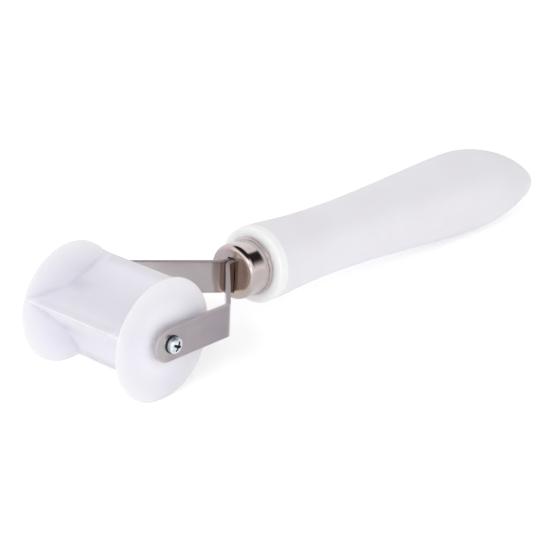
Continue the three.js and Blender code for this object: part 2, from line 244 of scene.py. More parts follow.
# %% A socket that takes part in sums
class Wire:
    """A node's output; sums of wires and numbers become Math nodes."""

    def __init__(self, tree, socket=None):
        self.tree = tree
        self.socket = socket

    def node(self, kind, settings, sockets, output=0):
        """Add a node: its settings first, then a value or a wire for each socket."""
        made = self.tree.nodes.new(kind)
        for name, value in settings.items():
            setattr(made, name, value)
        for name, value in sockets.items():
            if isinstance(value, Wire):
                self.tree.links.new(value.socket, made.inputs[name])
            else:
                made.inputs[name].default_value = value
        return Wire(self.tree, made.outputs[output])

    def math(self, operation, first, second):
        """One Math node on two values."""
        return self.node("ShaderNodeMath", {"operation": operation}, {0: first, 1: second})

    def __add__(self, other):
        return self.math("ADD", self, other)

    __radd__ = __add__

    def __sub__(self, other):
        return self.math("SUBTRACT", self, other)

    def __rsub__(self, other):
        return self.math("SUBTRACT", other, self)

    def __mul__(self, other):
        return self.math("MULTIPLY", self, other)

    __rmul__ = __mul__

    def ramp(self, low, high):
        """0 below low and 1 above high, with a smooth step between; low may be the larger."""
        ends = {"Value": self, "From Min": low, "From Max": high}
        return self.node("ShaderNodeMapRange", {"interpolation_type": "SMOOTHSTEP"}, ends)

    def stretch(self, x, y, z):
        """A vector with each part multiplied by its own number."""
        parts = {0: self, 1: (x, y, z)}
        return self.node("ShaderNodeVectorMath", {"operation": "MULTIPLY"}, parts)

    def part(self, letter):
        """One part of a vector."""
        return self.node("ShaderNodeSeparateXYZ", {}, {0: self}, output=letter)

    def noise(self, scale, detail=2.0, roughness=0.5):
        """Soft noise over a vector, about 0.5 on average."""
        sizes = {"Vector": self, "Scale": scale, "Detail": detail, "Roughness": roughness}
        return self.node("ShaderNodeTexNoise", {}, sizes)

    def mix(self, first, second):
        """A colour between two others, with this wire as the share of the second."""
        ends = {0: self, 6: first, 7: second}
        return self.node("ShaderNodeMix", {"data_type": "RGBA"}, ends, output=2)

    def bump(self, strength, height):
        """Small relief: this wire times height, in metres, bends the normal."""
        relief = {"Strength": strength, "Distance": height, "Height": self}
        return self.node("ShaderNodeBump", {}, relief)

    def into(self, shader, name):
        """Link the wire to a shader's socket."""
        self.tree.links.new(self.socket, shader.inputs[name])


def colour(red, green, blue):
    """A colour given as a screen shows it, 0 to 255, turned into linear light."""
    share = np.array([red, green, blue]) / 255
    linear = np.where(share <= 0.04045, share / 12.92, ((share + 0.055) / 1.055) ** 2.4)
    return (*linear.tolist(), 1.0)


def new_finish(name):
    """A material with its main shader, and a bare wire to add nodes with."""
    material = bpy.data.materials.new(name)
    material.use_nodes = True
    return material, material.node_tree.nodes["Principled BSDF"], Wire(material.node_tree)


def object_place(start):
    """Where a point lies in the part's frame, in metres."""
    return start.node("ShaderNodeTexCoord", {}, {}, output="Object")


def own_place(start):
    """The piece's own place attribute."""
    return start.node("ShaderNodeAttribute", {"attribute_name": "place"}, {}, output="Vector")


print("white reads", np.round(colour(229, 228, 236)[:3], 3), "in linear light")

# %% [markdown]
# ## White plastic
# Roller and handle are moulded in a cool white plastic with a satin skin. Light goes several
# millimetres into it before it comes out again, which softens every crease, so all of the colour is
# subsurface. A plain white would look like paper: the colour drifts by a hundredth in wide clouds,
# the gloss drifts with it, and a very fine grain breaks the highlights as a moulded skin does.
# Each piece brings its own skin, a function that gives the white at a place on it.

# %% Moulded plastic
CLOUD_SIZE = 0.022
GRAIN_SIZE = 0.0004
GRAIN_HEIGHT = 0.00002
LIGHT_DEPTH = 0.006


def moulded_plastic(name, skin_of, gloss):
    """Satin plastic: its white comes from skin_of, gloss drifts in wide clouds, grain is relief."""
    material, shader, start = new_finish(name)
    place = object_place(start)
    cloud = place.noise(1 / CLOUD_SIZE, 2.0)
    grain = place.noise(1 / GRAIN_SIZE, 2.0)
    skin_of(own_place(start), cloud.ramp(0.3, 0.7)).into(shader, "Base Color")
    (gloss + 0.10 * (cloud - 0.5) + 0.06 * (grain - 0.5)).into(shader, "Roughness")
    grain.bump(0.15, GRAIN_HEIGHT).into(shader, "Normal")
    shader.inputs["Subsurface Weight"].default_value = 1.0
    shader.inputs["Subsurface Radius"].default_value = (1.0, 0.95, 0.9)
    shader.inputs["Subsurface Scale"].default_value = LIGHT_DEPTH
    return material


print("light goes", LIGHT_DEPTH / MM, "mm deep")

# %% [markdown]
# ## Roller
# The roller is a spool. Two thin flanges end in knife rims that cut round the dough, and three cross
# blades between them cut across it, so each turn leaves three pieces. Seen along the axle, the
# middle is a three-pointed star with straight faces; the flanges are cones that rise out of it, and
# their outer faces are shallow domes that come close to the fork at the axle.
# Booleans would give hard creases, so the surface is one radius that depends on the angle and the
# place along the axle: the larger of star and cone, blended so that the creases become fillets.
# Painted light makes the white paler round the axle; painted shade deepens corners, blades and flanges.

# %% Roller's star and flanges
RIM = tool_box("cutting_roller")[1][0]
ROLLER_FACE = 21.8
HUB_RISE = 1.4
CORE = 7.4
FLANGE_DEPTH = 3.9
RIM_LAND = 0.4
RIM_ROUND = 0.3
BLADES = 3
BLADE_REACH = RIM - 0.1
BLADE_LAND = 0.2
BLADE_ROUND = 0.15
FIRST_BLADE = math.radians(17.2)
ROLLER_BORE = 3.15
BORE_EDGE = 0.4
FLANGE_FILLET = 2.6
FILLET_SHARE = (0.4, 1.0)
VALLEY_FILLET = 2.4
BLADE_STEP = 2 * math.pi / BLADES
OUTER_SIDE = (ROLLER_FACE - 0.25, ROLLER_FACE - 0.05)
# Where roller_skin paints shade on the flanges, in the corners and on the blades, and light round the
# axle.
FLANGE_SHADE_SIDE = (17.0, 19.5)
HUB_PAINTED_LIGHT = (17.0, 7.5)
CORNER_SHADE_RADII = (10.0, 7.5)
CORNER_SHADE_SIDE = (8.0, 16.0)
BLADE_SHADE_RADII = (15.5, 20.7)
BLADE_SHADE_SIDE = (18.5, 15.5)


def larger(first, second, blend):
    """The larger of two values, rounded over where they are closer than about blend."""
    return (first + second + np.sqrt((first - second) ** 2 + blend ** 2)) / 2


def smaller(first, second, blend):
    """The smaller of two values, rounded in the same way."""
    return (first + second - np.sqrt((first - second) ** 2 + blend ** 2)) / 2


def star_radius(turn):
    """Radius of the star: each face is a straight line, so distance over cosine; the larger of
    the two faces in a valley, cut off at the blade's reach. Turn is measured from a blade."""
    edge = np.array([BLADE_REACH, BLADE_LAND / 2])
    valley = CORE * np.array([math.cos(BLADE_STEP / 2), math.sin(BLADE_STEP / 2)])
    run = valley - edge
    square = np.array([-run[1], run[0]]) / np.hypot(*run)
    square = square * np.sign(square @ edge)
    lean = math.atan2(square[1], square[0])
    this_face = (square @ edge) / np.cos(turn - lean)
    next_face = (square @ edge) / np.cos(BLADE_STEP - turn - lean)
    return smaller(larger(this_face, next_face, VALLEY_FILLET), BLADE_REACH, BLADE_ROUND)


def flange_radius(along):
    """Radius of the flange's cone: a straight rise from the core to the rim near each face."""
    foot = ROLLER_FACE - FLANGE_DEPTH
    rise = (RIM - CORE) / (FLANGE_DEPTH - RIM_LAND)
    return CORE + (np.abs(along) - foot) * rise


def spool_radius(along, turn):
    """The larger of star and cone, with a fillet that narrows towards the rim."""
    star = star_radius(turn)
    cone = smaller(flange_radius(along), RIM, RIM_ROUND)
    room = np.clip((RIM - np.maximum(star, cone)) / (RIM - CORE), *FILLET_SHARE)
    return np.minimum(larger(star, cone, FLANGE_FILLET * room), RIM)


def dome(radius):
    """How far out a flange's outer face lies: a shallow parabola, highest at the axle."""
    return ROLLER_FACE + HUB_RISE * (1 - (radius / RIM) ** 2)


def roller_skin(place, cloud):
    """Cool white, with painted light round the axle on the outer faces and painted shade in the
    pockets' corners, towards the blades' edges and a little on the flanges. Place holds the way
    along the axle, the radius and the turn."""
    radius = place.part("Y")
    from_middle = place.math("ABSOLUTE", place.part("X"), 0.0)
    outside = from_middle.ramp(*OUTER_SIDE)
    plain = cloud.mix(colour(233, 232, 240), colour(231, 230, 238))
    # The flanges carry a painted shade, a little darker than the white between them.
    flange_shade = cloud.mix(colour(226, 225, 233), colour(224, 223, 231))
    inner = from_middle.ramp(*FLANGE_SHADE_SIDE).mix(plain, flange_shade)
    # Painted shade in the pockets' corners and along the blades.
    corner = radius.ramp(*CORNER_SHADE_RADII) * from_middle.ramp(*CORNER_SHADE_SIDE)
    inner = corner.mix(inner, colour(211, 210, 220))
    blade = radius.ramp(*BLADE_SHADE_RADII) * from_middle.ramp(*BLADE_SHADE_SIDE)
    inner = blade.mix(inner, colour(213, 212, 221))
    # Painted light round the axle on the outer faces, paler than the flange's white.
    outer = radius.ramp(*HUB_PAINTED_LIGHT).mix(flange_shade, colour(240, 239, 247))
    return outside.mix(inner, outer)


ROLLER_PLASTIC = moulded_plastic("roller_plastic", roller_skin, 0.5)
print("roller", round(2 * RIM, 1), "mm across,", round(2 * ROLLER_FACE, 1), "mm wide")

# %% Roller mesh
SECTOR_STEPS = 96
CROWDING = 0.86
MIDDLE_STEPS = 13
FLANGE_STEPS = 34
FACE_RINGS = 14
RIM_STEPS = 6
BORE_STEPS = 4
FACE_MARGIN = 1.0
FOOT_MARGIN = 2.0
share = np.arange(SECTOR_STEPS) / SECTOR_STEPS
sector = BLADE_STEP * (share - CROWDING * np.sin(2 * math.pi * share) / (2 * math.pi))
turns = np.concatenate([sector + BLADE_STEP * blade for blade in range(BLADES)])
flange_foot = ROLLER_FACE - FLANGE_DEPTH - FOOT_MARGIN
rim_start = ROLLER_FACE - RIM_ROUND
between = np.concatenate([
    np.linspace(-rim_start, -flange_foot, FLANGE_STEPS)[:-1],
    np.linspace(-flange_foot, flange_foot, MIDDLE_STEPS),
    np.linspace(flange_foot, rim_start, FLANGE_STEPS)[1:],
])[:, None]
wheel_radius = spool_radius(between, turns[None, :] % BLADE_STEP)
wheel_along = between + 0 * wheel_radius
face_rings = np.linspace(RIM - FACE_MARGIN, ROLLER_BORE + BORE_EDGE, FACE_RINGS)
HUB_FACE = dome(face_rings[-1])
end_face = np.vstack([
    arc(rim_start, RIM - RIM_ROUND, RIM_ROUND, 90, 0, RIM_STEPS)[1:],
    np.column_stack([dome(face_rings), face_rings])[:-1],
    arc(HUB_FACE - BORE_EDGE, ROLLER_BORE + BORE_EDGE, BORE_EDGE, 0, -90, BORE_STEPS),
])
other_face = end_face[::-1] * (-1, 1)
outline = np.vstack([end_face, other_face])
outline_along = outline[:, :1] + 0 * turns
outline_radius = outline[:, 1:] + 0 * turns
along = np.vstack([wheel_along, outline_along])
radius = np.vstack([wheel_radius, outline_radius])
roller_points = about_axle(along, radius, turns + FIRST_BLADE)
roller_place = np.stack([along, radius, turns + 0 * radius], axis=-1)
roller_mesh = grid_mesh("roller_spool", roller_points, roller_place)
add_piece("cutting_roller", roller_mesh, ROLLER_BODY, ROLLER_PLASTIC)

# %% [markdown]
# ## Handle
# The handle is moulded as if it were turned: a collar behind the ferrule, a waist for the finger, a
# long swell for the palm and a blunt end that drops a little. The outline is three smooth curves
# that pass level through waist and swell. Its front is hollow, a neck with a slot for the tangs.
# A ring of painted light runs round the collar, a little paler than the rest.

# %% Handle's outline
FORK_DROP = 1.75
COLLAR_RADIUS = 13.85
COLLAR_EDGE = 1.1
COLLAR_LAND = 0.2
# Reach of the painted light on the collar's ring.
COLLAR_PAINTED_LIGHT = (4.0, 3.5)
WAIST_RADIUS = 12.56
WAIST_PLACE = 37.2
SWELL_RADIUS = 16.17
SWELL_PLACE = 122.7
HANDLE_LENGTH = 171.8
HANDLE_LEAN = math.radians(0.41)
DROOP_PLACE = 115.4
END_DROP = 6.15
COLLAR_CARRY = 0.35
WAIST_CARRY_FRONT = 0.63
WAIST_CARRY_REAR = 0.354
SWELL_CARRY_FRONT = 0.2175
SWELL_CARRY_REAR = 0.445
END_CARRY = 0.312
EDGE_PULL = 2 / 3
EDGE_STEPS = 14
WAIST_STEPS = 26
SWELL_STEPS = 44
END_STEPS = 48
NECK_RADIUS = 8.7
NECK_EASE = 0.4
TANG_HOLE = (1.95, 6.2)
SEAT_GAP = 0.3

ferrule_low, ferrule_high = tool_box("ferrule")
arm_low, arm_high = tool_box("fork_arm_near", FORK_RISE)
NECK_FRONT = tool_box("handle")[0][0]
FERRULE_FRONT = ferrule_low[0]
COLLAR_FRONT = ferrule_high[0] + SEAT_GAP
TANG_END = arm_high[0]


def handle_outline():
    """Collar, waist, swell and end as (along X, radius): a quarter bend, then three cubic curves."""
    ring = (COLLAR_FRONT + COLLAR_EDGE + COLLAR_LAND, COLLAR_RADIUS)
    waist = (COLLAR_FRONT + WAIST_PLACE, WAIST_RADIUS)
    swell = (COLLAR_FRONT + SWELL_PLACE, SWELL_RADIUS)
    end = COLLAR_FRONT + HANDLE_LENGTH
    lip = (COLLAR_FRONT, COLLAR_RADIUS - COLLAR_EDGE)
    corner = (COLLAR_FRONT, COLLAR_RADIUS)
    to_lip = (lip[0], lip[1] + EDGE_PULL * (corner[1] - lip[1]))
    to_ring = (ring[0] + EDGE_PULL * (corner[0] - ring[0]), corner[1])
    to_waist = waist[0] - ring[0]
    to_swell = swell[0] - waist[0]
    to_end = end - swell[0]
    return np.vstack([
        bezier(lip, to_lip, to_ring, ring, EDGE_STEPS)[:-1],
        bezier(ring, (ring[0] + COLLAR_CARRY * to_waist, ring[1]),
               (waist[0] - WAIST_CARRY_FRONT * to_waist, waist[1]), waist, WAIST_STEPS)[:-1],
        bezier(waist, (waist[0] + WAIST_CARRY_REAR * to_swell, waist[1]),
               (swell[0] - SWELL_CARRY_FRONT * to_swell, swell[1]), swell, SWELL_STEPS)[:-1],
        bezier(swell, (swell[0] + SWELL_CARRY_REAR * to_end, swell[1]),
               (end, END_CARRY * swell[1]), (end, 0.0), END_STEPS),
    ])


def droop(along):
    """How far the handle's middle has dropped: a straight fall from the collar on, and past the
    bend's start the square of the way beyond it."""
    past = np.clip(along - COLLAR_FRONT, 0.0, None)
    bend = np.clip((past - DROOP_PLACE) / (HANDLE_LENGTH - DROOP_PLACE), 0.0, None)
    return past * math.tan(HANDLE_LEAN) + END_DROP * bend ** 2


def slot_outline(half, angles):
    """A rectangle's edge at each angle: the nearer of its side and its end."""
    cosine = np.abs(np.cos(angles)).clip(1e-9)
    sine = np.abs(np.sin(angles)).clip(1e-9)
    reach = np.minimum(half[0] / cosine, half[1] / sine)
    return np.stack([reach * np.cos(angles), reach * np.sin(angles)], axis=-1)


def handle_skin(place, cloud):
    """Cool white behind a ring of painted light at the collar. Place holds the tool's millimetres."""
    # A ring of painted light round the collar, paler than the rest of the white.
    ring = (place.part("X") - COLLAR_FRONT).ramp(*COLLAR_PAINTED_LIGHT)
    white = cloud.mix(colour(237, 236, 241), colour(235, 233, 239))
    return ring.mix(white, colour(251, 250, 253))


print("handle", HANDLE_LENGTH, "mm long from its collar,", 2 * SWELL_RADIUS, "mm at the swell")

# %% Handle mesh
HANDLE_STEPS = 112
handle_turns = full_turn(HANDLE_STEPS)
shell = np.vstack([
    [[NECK_FRONT, NECK_RADIUS - NECK_EASE], [NECK_FRONT + NECK_EASE, NECK_RADIUS]],
    [[COLLAR_FRONT, NECK_RADIUS]],
    handle_outline(),
])
shell_along = shell[:, :1] + 0 * handle_turns
shell_radius = shell[:, 1:] + 0 * handle_turns
shell_points = np.stack([
    shell_along,
    shell_radius * np.cos(handle_turns),
    FORK_DROP - droop(shell_along) + shell_radius * np.sin(handle_turns),
], axis=-1)
hole = slot_outline(TANG_HOLE, handle_turns)
hole_bottom = TANG_END + SEAT_GAP
hole_points = np.stack([
    np.column_stack([np.full(HANDLE_STEPS, hole_bottom), 0 * hole]),
    np.column_stack([np.full(HANDLE_STEPS, hole_bottom), hole]),
    np.column_stack([np.full(HANDLE_STEPS, NECK_FRONT), hole]),
])
hole_points = raised(hole_points, FORK_RISE)
handle_points = np.vstack([hole_points, shell_points])
HANDLE_PLASTIC = moulded_plastic("handle_plastic", handle_skin, 0.42)
handle_mesh = grid_mesh("handle_grip", handle_points, handle_points, joined_rows=False)
add_piece("handle", handle_mesh, FORK_BODY, HANDLE_PLASTIC)

# %% [markdown]
# ## Strip steel
# The fork's arms are stamped from bright rolled strip. Rolling leaves fine lines along the strip, so
# the relief and the gloss vary quickly across it and slowly along it. The place attribute holds the
# way along the strip, across it, and the distance in from the edge, negative on the inner side.
# From the nose back the colour carries painted light and shade: a painted sheen at the nose, painted
# shade towards the first bend, a painted gleam behind it, painted shade before the second bend, a
# lighter inner side in that bend and painted shade in the slot. The inner side of the straight run is
# painted bright, so it throws light onto the roller; the sheared edge is duller than the face and
# painted lighter along the straight run.

# %% Strip finish
EDGE_DEPTH = (0.55, 0.05)
INNER_DEPTH = (-0.3, -0.9)
# Reaches along the strip of its painted light and shade, from the nose to the slot.
NOSE_PAINTED_SHEEN = (7.0, 3.0)
ARM_PAINTED_SHADE = (12.0, 33.0)
ARM_PART = (36.0, 33.5)
EDGE_PAINTED_LIGHT = (35.0, 32.0)
PAINTED_GLEAM_START = (33.0, 35.5)
PAINTED_GLEAM_FADE = (60.0, 38.0)
PAINTED_GLEAM_REST = 0.12
MOUTH_SHADE_PART = (64.9, 66.1)
MOUTH_SHADE_SLANT = 0.2
BEND_PAINTED_LIGHT = (67.0, 68.7)
SLOT_PAINTED_SHADE = (69.8, 70.8)


def strip_steel():
    """Rolled steel: streaks along the strip in colour, gloss and relief, painted light and shade that
    change from the nose to the slot, and a dull sheared edge."""
    material, shader, start = new_finish("strip_steel")
    place = own_place(start)
    along = place.part("X")
    across = place.part("Y")
    depth = place.part("Z")
    edge = place.math("ABSOLUTE", depth, 0.0).ramp(*EDGE_DEPTH)
    inner = depth.ramp(*INNER_DEPTH)
    streak = place.stretch(0.05, 6.0, 1.0).noise(1.0, 3.0, 0.6)
    cloud = place.stretch(0.12, 0.2, 0.2).noise(1.0, 2.0)
    drift = (0.6 * cloud + 0.4 * streak).ramp(0.3, 0.7)
    sheet = drift.mix(colour(169, 161, 167), colour(176, 168, 173))
    # A painted sheen at the nose.
    sheet = along.ramp(*NOSE_PAINTED_SHEEN).mix(sheet, colour(190, 183, 184))
    # Painted shade towards the first bend.
    painted_arm_shade = 0.5 * along.ramp(*ARM_PAINTED_SHADE) * along.ramp(*ARM_PART)
    sheet = painted_arm_shade.mix(sheet, colour(150, 142, 149))
    # A painted gleam behind the first bend, fading along the slanting run.
    painted_gleam = PAINTED_GLEAM_REST + (1 - PAINTED_GLEAM_REST) * along.ramp(*PAINTED_GLEAM_FADE)
    sheet = (along.ramp(*PAINTED_GLEAM_START) * painted_gleam).mix(sheet, colour(248, 239, 231))
    # Painted shade before the second bend, starting further on along the lower half.
    mouth_shade = (along + MOUTH_SHADE_SLANT * place.math("MINIMUM", across, 0.0)).ramp(*MOUTH_SHADE_PART)
    sheet = mouth_shade.mix(sheet, colour(155, 141, 137))
    # The inner side is painted lighter in the second bend.
    sheet = (inner * along.ramp(*BEND_PAINTED_LIGHT)).mix(sheet, colour(190, 172, 166))
    # The inner side of the straight run is painted bright, so it throws light onto the roller's flange.
    sheet = (inner * along.ramp(*ARM_PART)).mix(sheet, colour(240, 238, 241))
    # Painted shade in the slot.
    sheet = along.ramp(*SLOT_PAINTED_SHADE).mix(sheet, colour(110, 94, 87))
    # The edge is painted lighter along the straight run than at the nose.
    rim = along.ramp(*EDGE_PAINTED_LIGHT).mix(colour(177, 170, 174), colour(207, 199, 202))
    edge.mix(sheet, rim).into(shader, "Base Color")
    (0.22 + 0.08 * (streak - 0.5) + 0.30 * edge).into(shader, "Roughness")
    streak.bump(0.08, 0.00002).into(shader, "Normal")
    shader.inputs["Metallic"].default_value = 1.0
    return material


STRIP_STEEL = strip_steel()
print("finish:", STRIP_STEEL.name)

# %% [markdown]
# ## Fork arms
# Each arm is one strip: a round nose with the screw in it, a straight run along the roller's side, a
# bend inwards, a slanting run and a second, wider bend into the tang that the ferrule holds. The
# section has rolled-over edges. The path is drawn from above as straight lines joined by arcs, and
# the section is carried along it; its width closes to a half circle at the nose.

# %% Path of an arm
STRIP_THICKNESS = 1.5
EDGE_ROUND = 0.25
BEND_RADIUS = 2.75
MOUTH_RADIUS = 4.5
SPREAD = math.radians(43)
ARM_CORNER = RIM + 5.9
NOSE_STEPS = 18
ARM_STEPS = 16
BEND_STEPS = 8
SLANT_STEPS = 14
MOUTH_STEPS = 10
TANG_STEPS = 12
STRIP_HALF = arm_high[2]
NOSE_REACH = -arm_low[0]
ARM_LINE = -arm_low[1] - STRIP_THICKNESS / 2
TANG_LINE = STRIP_THICKNESS / 2 - arm_high[1]
ARM_INSIDE = ARM_LINE - STRIP_THICKNESS / 2
ARM_OUTSIDE = ARM_LINE + STRIP_THICKNESS / 2


def arm_path():
    """Middle line seen from above, from the nose back: places, headings and length so far.

    Each bend is an arc that touches both lines, so it takes its radius times the tangent of half
    the angle from each of them."""
    cut = BEND_RADIUS * math.tan(SPREAD / 2)
    mouth_cut = MOUTH_RADIUS * math.tan(SPREAD / 2)
    tang_corner = ARM_CORNER + (ARM_LINE - TANG_LINE) / math.tan(SPREAD)
    slant = math.hypot(tang_corner - ARM_CORNER, ARM_LINE - TANG_LINE)
    nose_steps = -NOSE_REACH + STRIP_HALF * (1 - np.cos(np.linspace(0, math.pi / 2, NOSE_STEPS)))
    arm_steps = np.linspace(nose_steps[-1], ARM_CORNER - cut, ARM_STEPS)
    first = np.concatenate([nose_steps, arm_steps[1:]])
    lengths = [np.diff(first, prepend=first[0])]
    headings = [np.zeros(len(first))]
    pieces = [
        (BEND_RADIUS * SPREAD, SPREAD, BEND_STEPS),
        (slant - cut - mouth_cut, 0.0, SLANT_STEPS),
        (MOUTH_RADIUS * SPREAD, -SPREAD, MOUTH_STEPS),
        (TANG_END - tang_corner - mouth_cut, 0.0, TANG_STEPS),
    ]
    heading = 0.0
    for length, bend, steps in pieces:
        lengths.append(np.full(steps, length / steps))
        headings.append(heading + bend * (np.arange(steps) + 0.5) / steps)
        heading += bend
    step = np.concatenate(lengths)
    course = np.concatenate(headings)
    forward = -NOSE_REACH + np.cumsum(step * np.cos(course))
    inward = ARM_LINE - np.cumsum(step * np.sin(course))
    smooth = np.concatenate([(course[:-1] + course[1:]) / 2, course[-1:]])
    return forward, inward, smooth, np.cumsum(step)


path_forward, path_inward, path_heading, path_length = arm_path()
print("strip", round(path_length[-1], 1), "mm long when flat")

# %% Arm meshes
ROLLED_STEPS = 6
FLAT_SPAN = 0.85
FLAT_STEPS = 11


def arm_section(length):
    """Strip's section at each length from the nose: across it, through it, and in from its edge.

    The half width follows the nose's circle. The thickness falls along a quarter circle within
    the edge's rounding, measured from the nearest edge. That distance is negative on the inner side."""
    inside = np.clip(STRIP_HALF - length, 0.0, None)
    half = np.sqrt(np.clip(STRIP_HALF ** 2 - inside ** 2, 0.0, None))[:, None]
    rolled = 1 - np.sin(np.linspace(0, math.pi / 2, ROLLED_STEPS))
    near_edge = 1 - EDGE_ROUND / STRIP_HALF * rolled[::-1]
    flat_part = np.linspace(-FLAT_SPAN, FLAT_SPAN, FLAT_STEPS)
    row = np.unique(np.concatenate([-near_edge, flat_part, near_edge]))
    across = half * row
    from_nose = STRIP_HALF - np.hypot(inside[:, None], across)
    depth = np.where(inside[:, None] > 0, from_nose, half - np.abs(across))
    depth = np.clip(depth, 0.0, None)
    shortfall = np.clip(EDGE_ROUND - depth, 0.0, None)
    through = STRIP_THICKNESS / 2 - EDGE_ROUND + np.sqrt(EDGE_ROUND ** 2 - shortfall ** 2)
    across = np.hstack([across, across[:, ::-1]])
    through = np.hstack([through, -through[:, ::-1]])
    return across, through, np.hstack([depth, -depth[:, ::-1]])


def arm_mesh(name, side):
    """Carry the section along the path; side is -1 for the near arm and 1 for the far one."""
    across, through, depth = arm_section(path_length)
    heading = path_heading[:, None]
    forward = path_forward[:, None] + through * np.sin(heading)
    sideways = path_inward[:, None] + through * np.cos(heading)
    rows = np.stack([forward, side * sideways, across], axis=-1)
    cap = rows[-1:].mean(axis=1, keepdims=True) + 0 * rows[-1:]
    points = raised(np.vstack([rows, cap]), FORK_RISE)
    place = np.stack([path_length[:, None] + 0 * across, across, depth], axis=-1)
    return grid_mesh(name, points, np.vstack([place, place[-1:]]), joined_rows=False)


for label, side in (("near", -1), ("far", 1)):
    strip = arm_mesh("fork_strip_" + label, side)
    add_piece("fork_arm_" + label, strip, FORK_BODY, STRIP_STEEL)

# %% [markdown]
# ## Ferrule
# The ferrule is a drawn cap: a face with a slot for the two tangs, a rounded shoulder, a short tube
# and a bead where it meets the handle. It is the one bright mirror on the tool, nickel plated. The
# slot is a rectangle and the rest is round, so the face is a blend from one to the other. Angles are
# chosen so that the slot's four corners are points of the grid.

# %% Plated finish
# Reach of the front face that carries a painted reflection, and the way across it.
FRONT_DEPTH = (FERRULE_FRONT + 0.7, FERRULE_FRONT + 0.05)
FRONT_REFLECTION_SIDE = (1.0, -1.5)


def bright_plate():
    """Polished nickel: a warm grey mirror, faint polishing rings, soft smears, and a painted brown
    reflection on the front face, lighter towards the near side.
    Place holds the way along the tool, the distance from the middle line, and the way across."""
    material, shader, start = new_finish("bright_plate")
    smear = object_place(start).noise(260.0, 3.0)
    place = own_place(start)
    ring = place.stretch(9.0, 9.0, 0.05).noise(1.0, 2.0)
    skin = smear.ramp(0.3, 0.7).mix(colour(203, 193, 194), colour(195, 184, 183))
    # A painted brown reflection on the front face, lighter to one side.
    front = place.part("X").ramp(*FRONT_DEPTH)
    shade = place.part("Z").ramp(*FRONT_REFLECTION_SIDE)
    face = shade.mix(colour(186, 174, 177), colour(213, 197, 184))
    front.mix(skin, face).into(shader, "Base Color")
    (0.09 + 0.05 * smear + 0.03 * ring + 0.06 * front).into(shader, "Roughness")
    ring.bump(0.05, 0.00001).into(shader, "Normal")
    shader.inputs["Metallic"].default_value = 1.0
    return material


BRIGHT_PLATE = bright_plate()
print("finish:", BRIGHT_PLATE.name)

# %% Ferrule mesh
FERRULE_RADIUS = 9.9
FERRULE_EDGE = 1.9
FERRULE_FACE = 1.2
FERRULE_BORE = 9.0
BEAD_WIDTH = 1.6
BEAD_HEIGHT = 0.5
BEAD_RISE = 0.14
BEAD_FALL = 0.2
SLOT_HALF = (1.75, 6.2)
SLOT_DROP = FORK_DROP - FERRULE_FRONT * math.tan(FORK_RISE)
SLOT_EDGE = 0.2
SLOT_SIDE_STEPS = 30
FACE_STEPS = 4
SHOULDER_STEPS = 12
TUBE_STEPS = 5
BEAD_STEPS = 28
FERRULE_SEAT = 0.02
FERRULE_REAR = COLLAR_FRONT - FERRULE_SEAT
TUBE_START = FERRULE_FRONT + FERRULE_EDGE + 0.5


def cornered_turn(half, steps):
    """Angles once round, steps to each side of a rectangle, with its corners among them."""
    corner = math.atan2(half[1], half[0])
    stops = [-corner, corner, math.pi - corner, math.pi + corner, 2 * math.pi - corner]
    sides = [np.linspace(a, b, steps, endpoint=False) for a, b in zip(stops[:-1], stops[1:])]
    return np.concatenate(sides)


ferrule_turns = cornered_turn(SLOT_HALF, SLOT_SIDE_STEPS)
bead = (1 - np.cos(np.linspace(0, math.pi, BEAD_STEPS))) / 2
swelling = np.sin(math.pi / 2 * np.clip(bead / BEAD_RISE, 0, 1)) * (1 - (bead - 0.5) ** 2)
falling = np.sqrt(1 - (np.clip(bead - 1 + BEAD_FALL, 0, None) / BEAD_FALL) ** 2)
bead_along = FERRULE_REAR - BEAD_WIDTH * (1 - bead)
tube = np.linspace(TUBE_START, FERRULE_REAR - BEAD_WIDTH, TUBE_STEPS, endpoint=False)
shoulder = (FERRULE_FRONT + FERRULE_EDGE, FERRULE_RADIUS - FERRULE_EDGE)
outside = np.vstack([
    arc(*shoulder, FERRULE_EDGE, 180, 90, SHOULDER_STEPS),
    np.column_stack([tube, FERRULE_RADIUS + 0 * tube]),
    np.column_stack([bead_along, FERRULE_RADIUS + BEAD_HEIGHT * swelling * falling]),
    [[FERRULE_REAR, FERRULE_BORE], [FERRULE_FRONT + FERRULE_FACE, FERRULE_BORE]],
])
outward = np.stack([np.cos(ferrule_turns), np.sin(ferrule_turns)], axis=-1)
slot_edge = slot_outline(SLOT_HALF, ferrule_turns)
slot_edge[:, 1] -= SLOT_DROP
slot_lip = slot_edge + SLOT_EDGE * outward
round_part = outside[:, 1][:, None, None] * outward
face_share = np.linspace(0.0, 1.0, FACE_STEPS, endpoint=False)[:, None, None]
face_part = slot_lip + face_share * (round_part[0] - slot_lip)
section = np.concatenate([slot_edge[None], face_part, round_part, slot_edge[None]])
ferrule_along = np.concatenate([
    [FERRULE_FRONT + SLOT_EDGE],
    np.full(len(face_part), FERRULE_FRONT),
    outside[:, 0],
    [FERRULE_FRONT + FERRULE_FACE],
])[:, None] + 0 * ferrule_turns
ferrule_points = np.stack([ferrule_along, section[..., 0], section[..., 1] + FORK_DROP], axis=-1)
from_axis = np.hypot(section[..., 0], section[..., 1])
ferrule_place = np.stack([ferrule_along, from_axis, section[..., 0]], axis=-1)
ferrule_mesh = grid_mesh("ferrule_cap", ferrule_points, ferrule_place)
add_piece("ferrule", ferrule_mesh, FORK_BODY, BRIGHT_PLATE)

# %% [markdown]
# ## Axle screws
# A pan-head screw with a cross recess holds each arm to the axle. The head is a low dome on a short
# wall. The recess is pressed into the dome: two grooves crossed at a right angle, deepest in the
# middle, so on a grid of rings it is simply a depth taken off the dome's height.

# %% Zinc finish
# Depth at which the painted shade of the recess sets in.
RECESS_SHADE_DEPTH = (0.2, 0.7)


